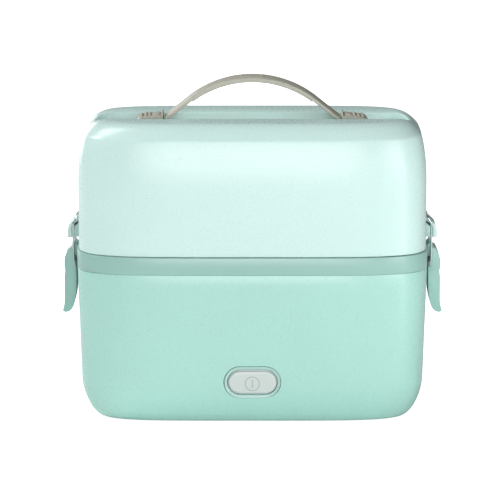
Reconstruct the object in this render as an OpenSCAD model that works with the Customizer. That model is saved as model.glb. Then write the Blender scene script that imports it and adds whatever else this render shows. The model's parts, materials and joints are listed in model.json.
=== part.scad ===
// Electric lunch box with two food layers, a lift-off lid held by two side
// draw latches, and a flexible carrying strap on two sliders.
// Front faces -Y, +Z is up, the origin is on the table under the centre.

/* [Body] */
// Width at the band
body_w = 239; // [220:1:260]
// Depth at the band
body_d = 120; // [110:1:130]
// Exponent of the squared-oval plan
plan_power = 4.9; // [4.5:0.1:5.5]
// Outer wall thickness
wall = 2.4; // [1.8:0.1:3]
// Height of the base's underside over the table
base_bottom = 2.6; // [2:0.1:3]
// Bottom of the band
band_bottom = 106.4; // [105:0.1:108]
// Top of the band, where the lid parts from the base
band_top = 118.4; // [117:0.1:119]

/* [Lid] */
// Height of the soft crease around the lid's top
crease_z = 197.2; // [196:0.1:199]
// Height of the lid's flat top
lid_top = 206.5; // [206:0.1:208]
// How far the crease stands in from the band
crease_inset = 5; // [4:0.1:6]
// How far the flat top stands in from the band
top_inset = 21.5; // [20:0.1:22]
// Height of the inner liner's closed top
liner_top = 178; // [170:1:180]

/* [Handle] */
// Half length of the channel in the lid
channel_half = 107; // [100:1:108]
// Width of the channel
channel_w = 29; // [28.5:0.5:32]
// Depth of the channel
channel_depth = 7.2; // [7:0.1:7.4]
// Radius of the strap's arch
arch_r = 71; // [65:1:80]
// Height of the strap's top over the table
strap_top = 233.1; // [228:0.1:238]
// Width of the strap
strap_w = 21; // [18:1:24]
// Travel of each slider when the strap is pressed flat
slider_travel = 7; // [5:0.5:9]

/* [Latch] */
// Half width of the lever
lever_half = 11; // [9:0.5:12]
// Half distance between the bail's legs, wire centre to wire centre
bail_half = 12; // [11.9:0.1:13]
// Radius of the bail's wire
wire_r = 0.75; // [0.6:0.05:0.75]

/* [Power switch] */
// Height of the switch's centre
switch_z = 32.4; // [30:0.1:36]
// Width of the bezel
bezel_w = 38.3; // [34:0.1:42]
// Height of the bezel
bezel_h = 22.1; // [20:0.1:24]
// Width of the button
button_w = 33; // [30:0.1:33]
// Height of the button
button_h = 16.2; // [14:0.1:16.2]

/* [Hidden] */

half_w = body_w / 2;
half_d = body_d / 2;
plan_points = 96;
gap = 0.3;

lid_bottom = band_top + gap;
lid_inset = 1.1;
lid_curve_z = 160;
lid_curve_power = 2.6;
shoulder_power = 2.2;

base_top_inset = 0.1;
base_low_inset = 2.3;
round_h = 25.1;
round_in = 11.8;
round_power = 1.53;

steel = [0.78, 0.79, 0.8];
aluminium = [0.72, 0.73, 0.75];
lid_mint = "#d9f1ec";
base_mint = "#b0ddd2";
band_mint = "#a0c6be";
handle_beige = "#b5b3a6";
button_grey = "#cbd4d1";
clear_plastic = [0.9, 0.95, 0.95];

// ---------- plan curve and shells lofted from it ----------
function signed_pow(v, p) = sign(v) * pow(abs(v), p);
function plan(inset, k = plan_points) = [for (i = [0 : k - 1])
  let (t = 360 * i / k)
    [(half_w - inset) * signed_pow(cos(t), 2 / plan_power),
     (half_d - inset) * signed_pow(sin(t), 2 / plan_power)]];
function ring(p) = [for (q = plan(p[0])) [q[0], q[1], p[1]]];

// Outline of the base's side, as [inset, height], from the underside up
function base_side() = concat(
  [for (i = [8 : -1 : 1]) let (a = 90 * i / 8)
    [base_low_inset + round_in * (1 - pow(cos(a), 2 / round_power)),
     base_bottom + round_h * (1 - pow(sin(a), 2 / round_power))]],
  [[base_low_inset, base_bottom + round_h],
   [(base_low_inset + base_top_inset) / 2, (base_bottom + round_h + band_bottom) / 2],
   [base_top_inset, band_bottom]]);

// Outline of the lid's side, as [inset, height], from its rim up
function lid_side() = concat(
  [[lid_inset, lid_bottom], [lid_inset, lid_curve_z]],
  [for (i = [1 : 6]) let (s = i / 6)
    [lid_inset + (crease_inset - lid_inset) * pow(s, lid_curve_power),
     lid_curve_z + (crease_z - lid_curve_z) * s]],
  [for (i = [1 : 6]) let (s = i / 6)
    [crease_inset + (top_inset - crease_inset) * s,
     crease_z + (lid_top - crease_z) * (1 - pow(1 - s, shoulder_power))]]);

function reversed(v) = [for (i = [len(v) - 1 : -1 : 0]) v[i]];

// One closed solid through rings that share a point count
module loft(outline) {
  k = plan_points;
  n = len(outline);
  points = [for (p = outline) each ring(p)];
  sides = [for (r = [0 : n - 2], j = [0 : k - 1])
    let (a = r * k + j, b = r * k + (j + 1) % k)
      each [[a, a + k, b + k], [a, b + k, b]]];
  caps = [[for (j = [0 : k - 1]) j],
          [for (j = [k - 1 : -1 : 0]) (n - 1) * k + j]];
  polyhedron(points = points, faces = concat(sides, caps), convexity = 6);
}

// A straight slab of the plan curve
module slab(inset, z0, z1) {
  translate([0, 0, z0]) linear_extrude(z1 - z0) polygon(plan(inset));
}

module slab_ring(outer_inset, inner_inset, z0, z1) {
  difference() {
    slab(outer_inset, z0, z1);
    slab(inner_inset, z0 - 1, z1 + 1);
  }
}

// Rectangle with full or rounded corners, as true arcs
module round_rect(w, h, r) {
  if (w > 2 * r) square([w - 2 * r, h], center = true);
  if (h > 2 * r) square([w, h - 2 * r], center = true);
  for (x = [-1, 1], y = [-1, 1])
    translate([x * (w / 2 - r), y * (h / 2 - r)]) circle(r, $fn = 48);
}

module round_box(w, h, r, z0, z1) {
  translate([0, 0, z0]) linear_extrude(z1 - z0) round_rect(w, h, r);
}

// Pill shape lying in the XZ plane, from y0 to y1
module front_pill(w, h, y0, y1) {
  translate([0, y1, switch_z]) rotate([90, 0, 0])
    linear_extrude(y1 - y0) round_rect(w, h, h / 2);
}

module side_of(side) {
  if (side < 0) mirror([1, 0, 0]) children(); else children();
}

// Outline in the XZ plane, extruded from -half to half along Y
module across(half) {
  translate([0, half, 0]) rotate([90, 0, 0]) linear_extrude(2 * half) children();
}

module y_rod(x, z, r, y0, y1) {
  translate([x, y1, z]) rotate([90, 0, 0]) cylinder(h = y1 - y0, r = r, $fn = 48);
}

module x_rod(y, z, r, x0, x1) {
  translate([x0, y, z]) rotate([0, 90, 0]) cylinder(h = x1 - x0, r = r, $fn = 48);
}

module z_rod(x, y, r, z0, z1) {
  translate([x, y, z0]) cylinder(h = z1 - z0, r = r, $fn = 48);
}

// ---------- base ----------
switch_front = -(half_d - base_low_inset + 0.5);
base_floor = base_bottom + wall;
cover_half = [100, 40];
cover_open_r = 36;
cover_screw_at = [86, 27];
foot_at = [62, 26];
bezel_clear = 0.3;
inlet_w = 27;
inlet_h = 20;
inlet_back = 41;

module base_shell() {
  inner = [for (p = base_side()) if (p[1] >= base_floor + 2) [p[0] + wall, p[1]]];
  floor_ring = [[base_low_inset + round_in + wall, base_floor]];
  color(base_mint) difference() {
    loft(concat(base_side(), reversed(inner), floor_ring));
    translate([0, 0, base_bottom - 1]) linear_extrude(1 + 1.5)
      polygon(plan(half_w - cover_half[0]));
    translate([0, 0, base_bottom - 1]) linear_extrude(6)
      round_rect(188, 2 * cover_open_r, cover_open_r - 0.01);
    front_pill(bezel_w + 2 * bezel_clear, bezel_h + 2 * bezel_clear, -half_d - 2, -50);
    translate([0, half_d + 2, switch_z]) rotate([90, 0, 0])
      linear_extrude(12) round_rect(inlet_w + 0.6, inlet_h + 0.6, 3);
    translate([0, half_d + 2, switch_z]) rotate([90, 0, 0])
      linear_extrude(half_d + 2 - inlet_seat_y) round_rect(50.4, 24.4, 4.2);
    for (x = [-1, 1]) y_rod(x * 20, switch_z, 1.75, half_d - 9, half_d);
    for (x = [-1, 1], y = [-1, 1])
      z_rod(x * cover_screw_at[0], y * cover_screw_at[1], 1.3, 0, 8);
  }
}

module bottom_cover() {
  z1 = base_bottom + 1.5;
  color(base_mint) difference() {
    translate([0, 0, base_bottom]) linear_extrude(1.5)
      polygon(plan(half_w - cover_half[0] + 0.3));
    for (x = [-1, 1], y = [-1, 1])
      z_rod(x * cover_screw_at[0], y * cover_screw_at[1], 1.6, 0, 8);
    for (i = [-3 : 3])
      round_slot(i * 9);
  }
}

module round_slot(x) {
  translate([x, 0, base_bottom - 1]) linear_extrude(4) round_rect(3, 24, 1.49);
}

module rubber_feet() {
  color("#6f7a78") for (x = [-1, 1], y = [-1, 1])
    translate([x * foot_at[0], y * foot_at[1], 0]) {
      cylinder(h = 0.6, r1 = 6.4, r2 = 7, $fn = 48);
      translate([0, 0, 0.6]) cylinder(h = base_bottom - 0.6, r = 7, $fn = 48);
    }
}

module cover_screws() {
  color(steel) for (x = [-1, 1], y = [-1, 1]) {
    z_rod(x * cover_screw_at[0], y * cover_screw_at[1], 1.25, base_bottom, 7.4);
    z_rod(x * cover_screw_at[0], y * cover_screw_at[1], 2.6, base_bottom - 1.3, base_bottom);
  }
}

band_wall = 3;
ledge_inset = 9.2;
ledge_z = band_bottom + 2.4;

module band_ring() {
  color(band_mint) difference() {
    union() {
      slab_ring(0, band_wall, band_bottom, band_top);
      slab_ring(band_wall - 0.5, ledge_inset, band_bottom, ledge_z);
    }
    for (side = [-1, 1], y = [-1, 1]) side_of(side) {
      x_rod(y * bracket_screw_y, hinge_z, 1.4, 100, 130);
      x_rod(y * bracket_screw_y, hinge_z, 2.5, 100, half_w - band_wall + 1.5);
    }
  }
}

tub_wall = 1;
tub_inset = 9.6;
tub_floor = 48;
flange_top = ledge_z + 1.2;

module heating_tub() {
  color(steel) difference() {
    union() {
      slab(tub_inset, tub_floor, ledge_z + 0.6);
      slab(band_wall + 0.4, ledge_z, flange_top);
    }
    slab(tub_inset + tub_wall, tub_floor + 1.2, flange_top + 1);
  }
}

plate_z = tub_floor - 4;
heater_z = plate_z - 6;
clamp_z = heater_z - 1.5;
clamp_x = 50;

module heating_plate() {
  color(aluminium) difference() {
    round_box(120, 60, 8, plate_z, tub_floor);
    for (x = [-1, 1]) z_rod(x * clamp_x, 0, 1.5, plate_z - 1, plate_z + 3);
  }
}

module ptc_heater() {
  color("#d8d2c0") round_box(88, 24, 2, heater_z, plate_z);
}

module heater_clamp() {
  color(steel) difference() {
    union() {
      round_box(112, 12, 3, clamp_z, heater_z);
      for (x = [-1, 1]) z_rod(x * clamp_x, 0, 3.5, heater_z, plate_z);
    }
    for (x = [-1, 1]) z_rod(x * clamp_x, 0, 1.6, clamp_z - 1, plate_z + 1);
  }
}

module clamp_screws() {
  color(steel) for (x = [-1, 1]) {
    z_rod(x * clamp_x, 0, 1.5, clamp_z, plate_z + 2.8);
    z_rod(x * clamp_x, 0, 2.8, clamp_z - 1.8, clamp_z);
  }
}

module thermostat() {
  color("#e8e2d2") {
    z_rod(76, 0, 8, tub_floor - 6, tub_floor);
    z_rod(76, 0, 5, tub_floor - 11, tub_floor - 6);
    for (y = [-1, 1]) translate([75.6, y * 3 - 2, tub_floor - 17]) cube([0.8, 4, 6]);
  }
}

module thermal_fuse() {
  color("#b9b3a2") {
    x_rod(0, tub_floor - 2.6, 2.6, -86, -66);
    for (y = [-1, 1]) translate([-80, y * 6 - 2, tub_floor - 1]) cube([8, 4, 1]);
    translate([-79, -8, tub_floor - 6]) cube([6, 16, 1]);
    for (y = [-1, 1]) translate([-79, y * 7.5 - 0.5, tub_floor - 6]) cube([6, 1, 5]);
  }
}

// A wire through hand-picked points, with a slightly fuller ball at each bend
module wire(route, r) {
  for (i = [0 : len(route) - 2]) {
    d = route[i + 1] - route[i];
    len_xy = norm([d[0], d[1]]);
    translate(route[i]) rotate([0, atan2(len_xy, d[2]), atan2(d[1], d[0])])
      cylinder(h = norm(d), r = r, $fn = 24);
    if (i > 0) translate(route[i]) sphere(r * 1.04, $fn = 24);
  }
}

module wiring_loom() {
  color("#c9c4b4") {
    wire([[-7, inlet_back - 5.6, 31], [-20, 30, 22], [-60, 20, 20], [-90, 6, 30], [-90, 0, 45.4],
      [-86.2, 0, 45.4]], 1.2);
    wire([[7, inlet_back - 5.6, 31], [30, 28, 20], [70, 20, 22], [76, 3, 29.5], [76, 3, 31]], 1.2);
    wire([[0, inlet_back - 5.6, 38], [10, 24, 33], [9, 0, 20], [9, -24, 29]], 1.2);
  }
}

// ---------- mains inlet at the rear ----------
inlet_face = half_d - 2.1;
inlet_seat_y = half_d - 3.6;

module inlet_housing() {
  color("#3c4443") difference() {
    union() {
      translate([0, inlet_face, switch_z]) rotate([90, 0, 0])
        linear_extrude(inlet_face - inlet_seat_y) round_rect(50, 24, 4);
      translate([0, inlet_face, switch_z]) rotate([90, 0, 0])
        linear_extrude(inlet_face - inlet_back) round_rect(inlet_w, inlet_h, 3);
    }
    translate([0, inlet_face + 1, switch_z]) rotate([90, 0, 0])
      linear_extrude(inlet_face - inlet_back - 1) round_rect(24, 16.5, 3);
    for (x = [-1, 1])
      translate([x * 20, inlet_face + 1, switch_z]) rotate([90, 0, 0])
        cylinder(h = 8, r = 1.75, $fn = 32);
    for (p = [[-7, 0], [7, 0], [0, 4]])
      translate([p[0] - 1, inlet_back - 3, switch_z + p[1] - 2]) cube([2, 8, 4]);
  }
}

module inlet_blades() {
  color(steel) for (p = [[-7, 0], [7, 0], [0, 4]])
    translate([p[0] - 1, inlet_back - 4, switch_z + p[1] - 2]) cube([2, 17, 4]);
}

module inlet_screws() {
  color(steel) for (x = [-1, 1]) {
    translate([x * 20, inlet_face, switch_z]) rotate([90, 0, 0])
      cylinder(h = 6, r = 1.7, $fn = 32);
  }
}

// ---------- power switch at the front ----------
cap_back = switch_front + 5;
guide_y = cap_back + 6;
bezel_flange_y = -half_d + base_low_inset + wall + 2;

module switch_bezel() {
  color(base_mint) difference() {
    union() {
      front_pill(bezel_w, bezel_h, switch_front + 0.2, guide_y + 1.5);
      front_pill(bezel_w + 4, bezel_h + 4, bezel_flange_y, bezel_flange_y + 1.6);
    }
    front_pill(button_w + 1, button_h + 1, switch_front - 1, guide_y);
    y_rod(0, switch_z, 3.15, guide_y - 1, guide_y + 3);
  }
}

module switch_button() {
  color(button_grey) {
    front_pill(button_w, button_h, switch_front, cap_back);
    y_rod(0, switch_z, 3, cap_back - 1, guide_y + 4);
  }
}

module switch_spring() {
  color(steel) difference() {
    y_rod(0, switch_z, 4.2, cap_back + 0.1, guide_y - 0.1);
    y_rod(0, switch_z, 3.3, cap_back - 1, guide_y + 1);
  }
}

module switch_body() {
  color("#50585a") {
    translate([-14, guide_y + 6.8, switch_z - 8]) cube([28, 12, 16]);
    for (x = [-10, 8]) translate([x, guide_y + 18.8, switch_z - 3]) cube([2, 4, 6]);
    for (x = [-1, 1]) translate([x * 14.5 - 1.5, guide_y + 1.5, switch_z - 5]) cube([3, 14, 10]);
  }
}

// ---------- food bowls and tray ----------
bowl_x = 52.5;
bowl_w = 96;
bowl_d = 82;
bowl_r = 22;
bowl_wall = 0.8;
lower_z = tub_floor + 1.2;
lower_h = 50;
tray_floor = flange_top - 1.4;
tray_top = tray_floor + 1.2;
upper_h = 58;
lid_h = 4.5;

module bowl(side, z0, h) {
  color(steel) translate([side * bowl_x, 0, 0]) difference() {
    union() {
      round_box(bowl_w, bowl_d, bowl_r, z0, z0 + h);
      round_box(bowl_w + 4, bowl_d + 4, bowl_r + 2, z0 + h - 1, z0 + h);
    }
    round_box(bowl_w - 2 * bowl_wall, bowl_d - 2 * bowl_wall, bowl_r - bowl_wall,
      z0 + bowl_wall, z0 + h + 1);
  }
}

module bowl_lid(side, z0) {
  color(clear_plastic) translate([side * bowl_x, 0, 0]) {
    round_box(bowl_w + 4, bowl_d + 4, bowl_r + 2, z0, z0 + 1.6);
    round_box(bowl_w - 2 * bowl_wall - 1, bowl_d - 2 * bowl_wall - 1, bowl_r - 2, z0 - 3, z0);
    difference() {
      round_box(40, 16, 7.9, z0 + 1.6, z0 + lid_h);
      round_box(34, 10, 4.9, z0 + 1.6, z0 + lid_h + 1);
    }
  }
}

module middle_tray() {
  wall_inset = tub_inset + tub_wall + 0.3;
  color(clear_plastic) difference() {
    union() {
      slab(wall_inset, tray_floor, flange_top + 0.6);
      slab(8.2, flange_top, flange_top + 1.4);
    }
    slab(wall_inset + 1.2, tray_top, flange_top + 2);
    for (x = [-2 : 2], y = [-1 : 1])
      z_rod(x * 40, y * 28, 3, tray_floor - 1, tray_top + 1);
  }
}

// ---------- latches, drawn on the +X side ----------
hinge_x = 124.2;
hinge_z = 112.7;
bail_x = 121.9;
bail_z = 103.2;
bar_x = 119.55;
bar_z = 137.6;
pin_r = 1.25;
lever_skin = 1.6;
lever_side = 1.6;
bracket_half = 9;
bracket_screw_y = 5;
knuckle_r = 2.9;
lid_wall_x = half_w - lid_inset;

lever_outline = [[123.6, 116], [127.7, 111.2], [128.8, 107.5], [129, 104], [129, 101.4],
  [128.6, 101], [128.6, 98.8], [129, 95], [129.1, 79], [129.5, 75.4], [130.4, 71.2],
  [129.4, 70.4], [127.7, 70.5], [126, 71.1], [124.3, 72.5], [123.1, 74.5], [122.3, 76.8],
  [121.6, 80], [121, 84.6], [120.7, 92], [120.7, 105.6], [121.9, 107], [121.9, 114.6],
  [122.6, 115.6]];
bracket_top = [[half_w, hinge_z], [hinge_x, hinge_z], [hinge_x + 1.2, 115], [122.4, 118.6],
  [121.4, 118.6], [half_w, 116.6]];

module latch_bracket(side) {
  color(band_mint) side_of(side) difference() {
    across(bracket_half) difference() {
      union() {
        translate([hinge_x, hinge_z]) circle(knuckle_r, $fn = 48);
        translate([half_w, hinge_z - knuckle_r]) square([hinge_x - half_w, 2 * knuckle_r]);
        polygon(bracket_top);
      }
      translate([hinge_x, hinge_z]) circle(pin_r, $fn = 48);
    }
    for (y = [-1, 1]) x_rod(y * bracket_screw_y, hinge_z, 1.2, half_w - 1, hinge_x - 2);
  }
}

module bracket_screws() {
  color(steel) for (side = [-1, 1], y = [-1, 1]) side_of(side) {
    x_rod(y * bracket_screw_y, hinge_z, 1.2, half_w - band_wall + 1.4, hinge_x - 2.1);
    x_rod(y * bracket_screw_y, hinge_z, 2.3, half_w - band_wall, half_w - band_wall + 1.4);
  }
}

module hinge_pin(side) {
  color(steel) side_of(side) y_rod(hinge_x, hinge_z, pin_r, -10.8, 10.8);
}

module latch_lever(side) {
  pocket = lever_half - lever_side;
  color(band_mint) side_of(side) difference() {
    across(lever_half) polygon(lever_outline);
    across(pocket) polygon([[118, 77], [124.6, 77], [127.4, 80], [127.4, 118], [118, 118]]);
    y_rod(hinge_x, hinge_z, pin_r + 0.05, -12, 12);
    y_rod(bail_x, bail_z, wire_r + 0.05, -12, 12);
  }
}

module latch_bail(side) {
  leg_x = 122.5;
  stub = lever_half - lever_side + 0.2;
  color(steel) side_of(side) {
    wire([[bail_x, -stub, bail_z], [bail_x, -bail_half, bail_z],
      [leg_x, -bail_half, bail_z + 6], [leg_x, -bail_half, bar_z - 4.6],
      [bar_x, -bail_half, bar_z], [bar_x, bail_half, bar_z],
      [leg_x, bail_half, bar_z - 4.6], [leg_x, bail_half, bail_z + 6],
      [bail_x, bail_half, bail_z], [bail_x, stub, bail_z]], wire_r);
  }
}

catch_half = 10.4;
catch_outline = [[lid_wall_x, 137], [120.9, 135.3], [122.7, 134.1], [124.4, 132.9],
  [125.4, 131.7], [126.1, 130.1], [126.5, 128.2], [126.5, 123.2], [126, 122.7],
  [123.7, 122.7], [123.7, 129.8], [123, 131.4], [121.9, 132.5], [120.4, 133.5],
  [lid_wall_x, 134.9]];
catch_rib = [[lid_wall_x, 122.7], [124, 122.7], [124, 128], [lid_wall_x, 133.2]];

// Hooked plate with a core between it and the wall
module catch(side) {
  color(lid_mint) side_of(side) difference() {
    union() {
      across(catch_half) polygon(catch_outline);
      across(8) polygon(catch_rib);
    }
    for (y = [-1, 1]) x_rod(y * 5, 126, 1.2, lid_wall_x - 1, lid_wall_x + 5);
  }
}

module catch_screws() {
  color(steel) for (side = [-1, 1], y = [-1, 1]) side_of(side) {
    x_rod(y * 5, 126, 1.2, lid_wall_x - wall, lid_wall_x + 4.8);
  }
}

// ---------- lid ----------
channel_floor = lid_top - channel_depth;
floor_under = channel_floor - wall;
channel_r = 14;
slider_in = 60.5;
slider_out = 79;
neck_in = 66;
neck_out = 76;
neck_half = 4;
vent_at = [-77, 33];
vent_w = 20;
vent_d = 6;
boss_at = [84, 30];

module lid_shell() {
  inner = [for (p = lid_side()) if (p[0] < top_inset - 3) [p[0] + wall * 0.98, p[1] - wall * 0.4]];
  rim_in = [lid_inset + wall, lid_bottom];
  ceiling = [[top_inset + 1, lid_top - wall]];
  walls = [for (p = inner) if (p[1] > lid_bottom + 1) p];
  color(lid_mint) difference() {
    union() {
      loft(concat(ceiling, reversed(walls), [rim_in], lid_side()));
      round_box(2 * (channel_half + wall), channel_w + 2 * wall, channel_r + wall,
        floor_under, floor_under + 4.5);
      round_box(2 * (channel_half - 1.5), channel_w + 2 * wall, channel_r + wall,
        floor_under + 4.4, lid_top - 2.2);
      for (x = [-1, 1], y = [-1, 1])
        z_rod(x * boss_at[0], y * boss_at[1], 4, liner_top, lid_top - 2.2);
    }
    round_box(2 * channel_half, channel_w, channel_r, channel_floor, lid_top + 5);
    for (side = [-1, 1]) side_of(side)
      translate([neck_in - gap, -neck_half - gap, floor_under - 1])
        cube([neck_out - neck_in + slider_travel + 2 * gap, 2 * (neck_half + gap), wall + 2]);
    translate([vent_at[0], vent_at[1], 0])
      round_box(vent_w, vent_d, 2.9, lid_top - 6, lid_top + 3);
    for (x = [-1, 1], y = [-1, 1])
      z_rod(x * boss_at[0], y * boss_at[1], 1.3, liner_top - 1, liner_top + 9);
    for (side = [-1, 1], y = [-1, 1]) side_of(side)
      x_rod(y * 5, 126, 1.3, lid_wall_x - wall - 1, lid_wall_x + 1);
  }
}

liner_inset = 4.4;
liner_wall = 1.6;
liner_bottom = 112.8;

module lid_liner() {
  color("#eef2f0") difference() {
    slab(liner_inset, liner_bottom, liner_top);
    slab(liner_inset + liner_wall, liner_bottom - 1, liner_top - liner_wall);
    for (x = [-1, 1], y = [-1, 1])
      z_rod(x * boss_at[0], y * boss_at[1], 1.6, liner_top - 3, liner_top + 1);
    z_rod(vent_at[0], vent_at[1] - 8, 2.5, liner_top - 3, liner_top + 1);
  }
}

module lid_seal() {
  color("#f4f4f0") slab_ring(band_wall + 0.6, 7.6, flange_top + gap, liner_bottom);
}

module liner_screws() {
  color(steel) for (x = [-1, 1], y = [-1, 1]) {
    z_rod(x * boss_at[0], y * boss_at[1], 1.25, liner_top - liner_wall, liner_top + 8);
    z_rod(x * boss_at[0], y * boss_at[1], 2.8, liner_top - liner_wall - 1.6,
      liner_top - liner_wall);
  }
}

module steam_vent() {
  color(lid_mint) translate([vent_at[0], vent_at[1], 0]) difference() {
    round_box(vent_w - 0.2, vent_d - 0.2, 2.8, lid_top - 5, lid_top - 0.2);
    for (x = [-1, 1])
      translate([x * 4.6, 0, 0]) round_box(5, 1.6, 0.79, lid_top - 6, lid_top + 1);
  }
}

// ---------- handle ----------
grip_half = 42.5;
grip_t = 3.2;
strap_t = 2.4;
arch_z = strap_top - arch_r;
foot_x = 58.6;
foot_z = channel_floor + 4.6;
tongue_z = channel_floor + 0.6;

// The strap's side view: an arc, two straight legs and two flat tongues
module strap_outline() {
  leg_x = grip_half;
  leg_top = arch_z + sqrt(pow(arch_r, 2) - pow(leg_x, 2));
  intersection() {
    difference() {
      translate([0, arch_z]) circle(arch_r, $fn = 180);
      translate([0, arch_z]) circle(arch_r - grip_t, $fn = 180);
    }
    translate([-leg_x, arch_z + 40]) square([2 * leg_x, 60]);
  }
  for (s = [-1, 1]) scale([s, 1]) {
    polygon([[leg_x - 0.2, leg_top + 0.1], [foot_x + 1.4, foot_z + 1.2],
      [foot_x + 1.4, tongue_z], [foot_x - 3.2, tongue_z], [foot_x - 3.2, foot_z - 0.6],
      [leg_x - 0.2, leg_top - strap_t * 1.3]]);
  }
}

module strap_tongue() {
  difference() {
    translate([foot_x, -8.2, tongue_z]) cube([16, 16.4, 1.6]);
    translate([neck_in - 0.5, -neck_half - 0.4, tongue_z - 1])
      cube([20, 2 * neck_half + 0.8, 4]);
  }
}

module handle_strap() {
  color(handle_beige) {
    across(strap_w / 2) strap_outline();
    for (side = [-1, 1]) side_of(side) strap_tongue();
  }
}

// Slider that carries one end of the strap, with its neck through the floor
module handle_slider(side) {
  z0 = channel_floor + gap;
  color(handle_beige) side_of(side) difference() {
    union() {
      across(strap_w / 2) polygon([[slider_in, z0], [slider_out, z0], [slider_out, 203],
        [78, 204.8], [74, 206], [slider_in + 1.5, lid_top + 0.5], [slider_in, lid_top]]);
      translate([neck_in, -neck_half, floor_under - gap])
        cube([neck_out - neck_in, 2 * neck_half, wall + 3 * gap]);
    }
    difference() {
      translate([slider_in - 1, -8.6, z0 - 0.1]) cube([16.5, 17.2, 2.4]);
      translate([neck_in, -neck_half, z0 - 1]) cube([neck_out - neck_in, 2 * neck_half, 5]);
    }
    for (i = [0 : 2])
      translate([77.4 - i * 3, -7, 204.2 + i * 0.3]) rotate([0, 20, 0]) cube([1.3, 14, 4]);
    z_rod(71, 0, 1.2, floor_under - 2, floor_under + 6);
  }
}

module slider_retainer(side) {
  color("#8c8a80") side_of(side) difference() {
    translate([neck_in - 5, -9, floor_under - gap - 2])
      cube([neck_out - neck_in + 10, 18, 2]);
    z_rod(71, 0, 1.5, floor_under - 6, floor_under + 2);
  }
}

module slider_screw(side) {
  color(steel) side_of(side) {
    z_rod(71, 0, 1.2, floor_under - gap - 2, floor_under + 5.5);
    z_rod(71, 0, 2.8, floor_under - gap - 3.8, floor_under - gap - 2);
  }
}

base_shell();
bottom_cover();
rubber_feet();
cover_screws();
band_ring();
heating_tub();
heating_plate();
ptc_heater();
heater_clamp();
clamp_screws();
thermostat();
thermal_fuse();
wiring_loom();
inlet_housing();
inlet_blades();
inlet_screws();
switch_bezel();
switch_body();
switch_spring();
switch_button();
bowl(-1, lower_z, lower_h);  // lower_bowl_left
bowl(1, lower_z, lower_h);  // lower_bowl_right
bowl_lid(-1, lower_z + lower_h);  // lower_bowl_lid_left
bowl_lid(1, lower_z + lower_h);  // lower_bowl_lid_right
middle_tray();
bowl(-1, tray_top, upper_h);  // upper_bowl_left
bowl(1, tray_top, upper_h);  // upper_bowl_right
bowl_lid(-1, tray_top + upper_h);  // upper_bowl_lid_left
bowl_lid(1, tray_top + upper_h);  // upper_bowl_lid_right
latch_bracket(-1);  // latch_bracket_left
latch_bracket(1);  // latch_bracket_right
bracket_screws();
hinge_pin(-1);  // hinge_pin_left
hinge_pin(1);  // hinge_pin_right
latch_lever(-1);  // latch_lever_left
latch_lever(1);  // latch_lever_right
latch_bail(-1);  // latch_bail_left
latch_bail(1);  // latch_bail_right
lid_shell();
lid_liner();
lid_seal();
liner_screws();
catch(-1);  // catch_left
catch(1);  // catch_right
catch_screws();
steam_vent();
handle_strap();
handle_slider(-1);  // handle_slider_left
handle_slider(1);  // handle_slider_right
slider_retainer(-1);  // slider_retainer_left
slider_retainer(1);  // slider_retainer_right
slider_screw(-1);  // slider_screw_left
slider_screw(1);  // slider_screw_right
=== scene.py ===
"""Looks of a two-layer electric lunch box: mint mouldings, side draw latches and a soft strap handle."""

import json
import math

import bmesh
import bpy
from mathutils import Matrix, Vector


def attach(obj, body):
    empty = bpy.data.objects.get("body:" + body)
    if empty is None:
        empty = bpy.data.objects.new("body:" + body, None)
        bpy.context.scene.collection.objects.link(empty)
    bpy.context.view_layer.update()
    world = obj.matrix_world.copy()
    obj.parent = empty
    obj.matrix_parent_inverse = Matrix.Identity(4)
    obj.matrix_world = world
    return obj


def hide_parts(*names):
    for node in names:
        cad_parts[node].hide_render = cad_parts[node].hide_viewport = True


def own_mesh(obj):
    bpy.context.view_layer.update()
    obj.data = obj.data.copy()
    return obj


MM = 0.001
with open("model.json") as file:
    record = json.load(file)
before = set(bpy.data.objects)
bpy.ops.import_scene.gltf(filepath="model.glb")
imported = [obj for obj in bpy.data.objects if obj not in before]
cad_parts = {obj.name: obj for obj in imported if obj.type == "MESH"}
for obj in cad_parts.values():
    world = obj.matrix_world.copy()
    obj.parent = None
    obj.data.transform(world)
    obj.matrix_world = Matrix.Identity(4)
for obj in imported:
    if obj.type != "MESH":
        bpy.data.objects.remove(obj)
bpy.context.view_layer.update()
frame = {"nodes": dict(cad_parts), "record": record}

# ---------- sizes in millimetres, the same as the part's own ----------
# the dip of the lid's top and the small rounds of the edges are drawn only here
# body: half sizes of the squared-oval plan at the band; insets are measured inwards from it
HALF_W, HALF_D = 119.5, 60.0
PLAN_POWER = 4.9
PLAN_STEPS = 240
WALL = 2.4

# base and band
BASE_BOTTOM, BAND_BOTTOM, BAND_TOP = 2.6, 106.4, 118.4
BASE_LOW_INSET, BASE_TOP_INSET = 2.3, 0.1
ROUND_H, ROUND_IN, ROUND_POWER = 25.1, 11.8, 1.53
LEDGE_Z = BAND_BOTTOM + 2.4
LEDGE_OUT, LEDGE_IN = 3, 9.2
COVER_INSET = 19.5
UNDER_W, UNDER_D = 188, 72

# lid
LID_BOTTOM, LID_TOP = 118.7, 206.5
LID_INSET, CREASE_INSET, TOP_INSET = 1.1, 5.0, 21.5
LID_CURVE_Z, LID_CURVE_POWER = 160.0, 2.6
CREASE_Z, SHOULDER_POWER = 197.2, 2.2
CHANNEL_HALF, CHANNEL_HALF_W, CHANNEL_R = 107.0, 14.5, 14.0
CHANNEL_FLOOR, CHANNEL_LIP = 199.3, 0.8
DISH_DEPTH, DISH_RUN = 1.2, 10.0
VENT_W, VENT_D, VENT_PLACE = 20, 6, (-77, 33)

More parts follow.
